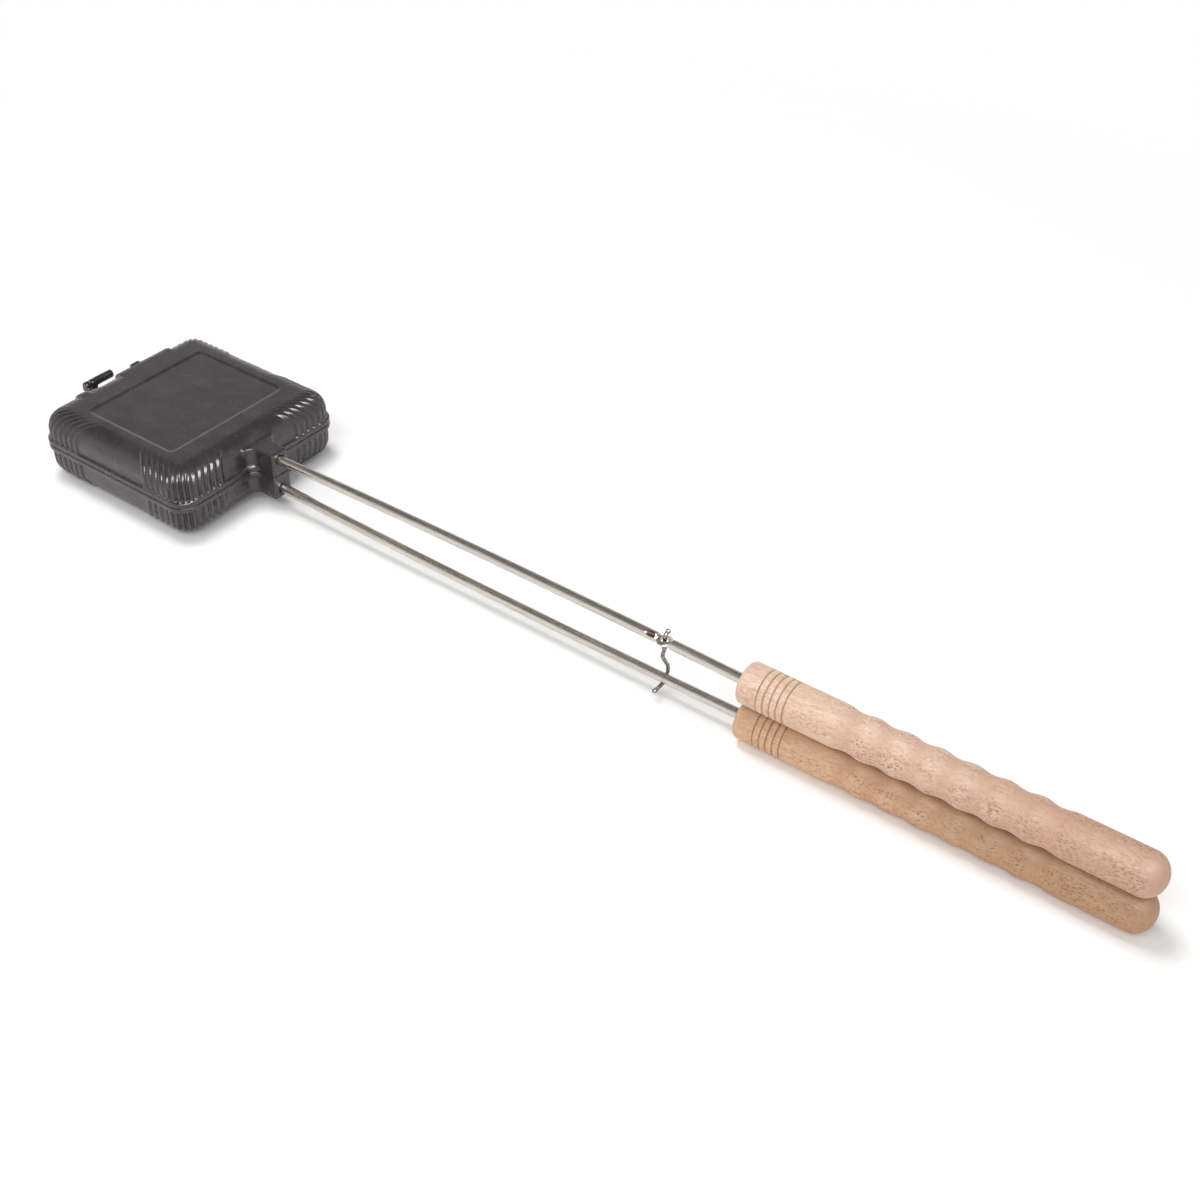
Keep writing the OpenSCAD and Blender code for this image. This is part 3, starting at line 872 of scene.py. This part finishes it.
def makeLatch():
    piece = copyOfNode("latch_hook", "latch_wire")
    applyModifier(piece, "REMESH", mode="VOXEL", voxel_size=latch["voxel"], adaptivity=0.0)
    applyModifier(piece, "SMOOTH", factor=0.5, iterations=latch["softening"])
    clouds = bpy.data.textures.new("wirePits", "CLOUDS")
    clouds.noise_scale = latch["roughSize"]
    applyModifier(
        piece, "DISPLACE", texture=clouds, texture_coords="LOCAL",
        strength=latch["rough"], mid_level=0.6)
    bpy.ops.object.shade_smooth()
    fitPiece(piece, "latch_hook", "latch", makeWire(wireFinish))


makeLatch()
print("latch bent")


# floor, light and camera

studio = {
    "floorSize": 30.0,
    "floorColour": (0.985, 0.985, 0.985, 1.0),
    "floorRough": 0.85,
    "floorGloss": 0.2,
    "white": (1.0, 1.0, 1.0, 1.0),
    "middle": (0.28, 0.0, 0.0),
    "litReach": 0.5,  # out to here the floor shows its own light and shadow
    "whiteReach": 0.9,  # from here on it shows plain white
    "touching": 0.002,  # shorter rays pass the floor, to light the underside for a view from below
    "horizon": 1.0,  # brightness of the surroundings up to lowAngle
    "ceiling": 0.22,  # and from highAngle on
    "lowAngle": 12.0,
    "highAngle": 45.0,
}


def aimFrom(azimuth, elevation):
    # the way towards a lamp or camera, from -Y at azimuth 0, round to +X at 90
    a = math.radians(azimuth)
    e = math.radians(elevation)
    return Vector((math.sin(a) * math.cos(e), -math.cos(a) * math.cos(e), math.sin(e)))


def makeFloor():
    bpy.ops.object.select_all(action="DESELECT")
    bpy.ops.mesh.primitive_plane_add(size=studio["floorSize"], location=(0.0, 0.0, 0.0))
    floor = bpy.context.object
    floor.name = "floor"
    material, tree, shader = newMaterial("paleFloor")
    shader.inputs["Base Color"].default_value = studio["floorColour"]
    shader.inputs["Roughness"].default_value = studio["floorRough"]
    shader.inputs["Specular IOR Level"].default_value = studio["floorGloss"]
    # far off it is plain white to the camera and in reflections
    away = vectorCalc(tree, "DISTANCE", objectCoords(tree), studio["middle"])
    far = mapRange(tree, away, studio["litReach"], studio["whiteReach"], smooth=True)
    path = addNode(tree, "LightPath").outputs
    seen = calc(tree, "ADD", path["Is Camera Ray"], path["Is Glossy Ray"], clamp=True)
    white = addNode(tree, "Emission", studio["white"], 1.0).outputs[0]
    whiteShare = calc(tree, "MULTIPLY", seen, far)
    lit = addNode(tree, "MixShader", whiteShare, shader.outputs[0], white).outputs[0]
    # from below, and to very short rays, it isn't there
    close = calc(tree, "LESS_THAN", path["Ray Length"], studio["touching"])
    below = calc(tree, "MAXIMUM", addNode(tree, "NewGeometry").outputs["Backfacing"], close)
    clear = addNode(tree, "BsdfTransparent").outputs[0]
    both = addNode(tree, "MixShader", below, lit, clear).outputs[0]
    output = next(n for n in tree.nodes if n.type == "OUTPUT_MATERIAL")
    tree.links.new(both, output.inputs["Surface"])
    floor.data.materials.append(material)


def makeWorld():
    world = bpy.data.worlds.new("studio")
    world.use_nodes = True
    bpy.context.scene.world = world
    tree = world.node_tree
    direction = addNode(tree, "TexCoord").outputs["Generated"]
    rise = addNode(tree, "SeparateXYZ", direction).outputs["Z"]
    lowRise = math.sin(math.radians(studio["lowAngle"]))
    highRise = math.sin(math.radians(studio["highAngle"]))
    level = mapRange(
        tree, rise, lowRise, highRise, studio["horizon"], studio["ceiling"], smooth=True)
    level = calc(tree, "MAXIMUM", level, addNode(tree, "LightPath").outputs["Is Camera Ray"])
    background = next(n for n in tree.nodes if n.type == "BACKGROUND")
    background.inputs["Color"].default_value = studio["white"]
    tree.links.new(level, background.inputs["Strength"])


# the card shows only in the gloss, and the other two light without showing in it
lamps = {
    "card": {"azimuth": 64.0, "elevation": 52.0, "distance": 2.4, "size": (3.0, 1.0),
             "energy": 150.0, "aim": (0.05, 0.0, 0.03), "mirrored": True},
    "overhead": {"azimuth": 264.0, "elevation": 75.0, "distance": 2.6, "size": (0.9, 0.9),
                 "energy": 35.0, "aim": (0.28, 0.0, 0.0), "mirrored": False},
    "front": {"azimuth": 15.0, "elevation": 54.0, "distance": 2.6, "size": (2.2, 0.9),
              "energy": 25.5, "aim": (0.28, 0.0, 0.0), "mirrored": False},
}


def makeLamps():
    for name, lamp in lamps.items():
        back = aimFrom(lamp["azimuth"], lamp["elevation"])
        bpy.ops.object.light_add(type="AREA", location=Vector(lamp["aim"]) + back * lamp["distance"])
        light = bpy.context.object
        light.name = name
        light.rotation_euler = back.to_track_quat("Z", "Y").to_euler()
        light.data.shape = "RECTANGLE"
        light.data.size, light.data.size_y = lamp["size"]
        light.data.energy = lamp["energy"]
        light.visible_glossy = lamp["mirrored"]
        light.visible_diffuse = not lamp["mirrored"]


camera = {
    "azimuth": 35.98,
    "elevation": 38.53,
    "roll": 1.12,
    "lens": 51.77,
    "sensor": 36.0,
    "clipStart": 0.01,
    "distance": 0.9659,
    "target": (0.3088, 0.0201, 0.024),
}


def makeCamera():
    back = aimFrom(camera["azimuth"], camera["elevation"])
    a = math.radians(camera["azimuth"])
    roll = math.radians(camera["roll"])
    right = Vector((math.cos(a), math.sin(a), 0.0))
    up = back.cross(right)
    rolledRight = right * math.cos(roll) + up * math.sin(roll)
    rolledUp = up * math.cos(roll) - right * math.sin(roll)
    turn = Matrix((rolledRight, rolledUp, back)).transposed().to_4x4()
    standAt = Vector(camera["target"]) + back * camera["distance"]
    bpy.ops.object.camera_add()
    viewer = bpy.context.object
    viewer.matrix_world = Matrix.Translation(standAt) @ turn
    viewer.data.lens = camera["lens"]
    viewer.data.sensor_width = camera["sensor"]
    viewer.data.clip_start = camera["clipStart"]
    bpy.context.scene.camera = viewer


makeFloor()
makeWorld()
makeLamps()
makeCamera()
print("studio ready")
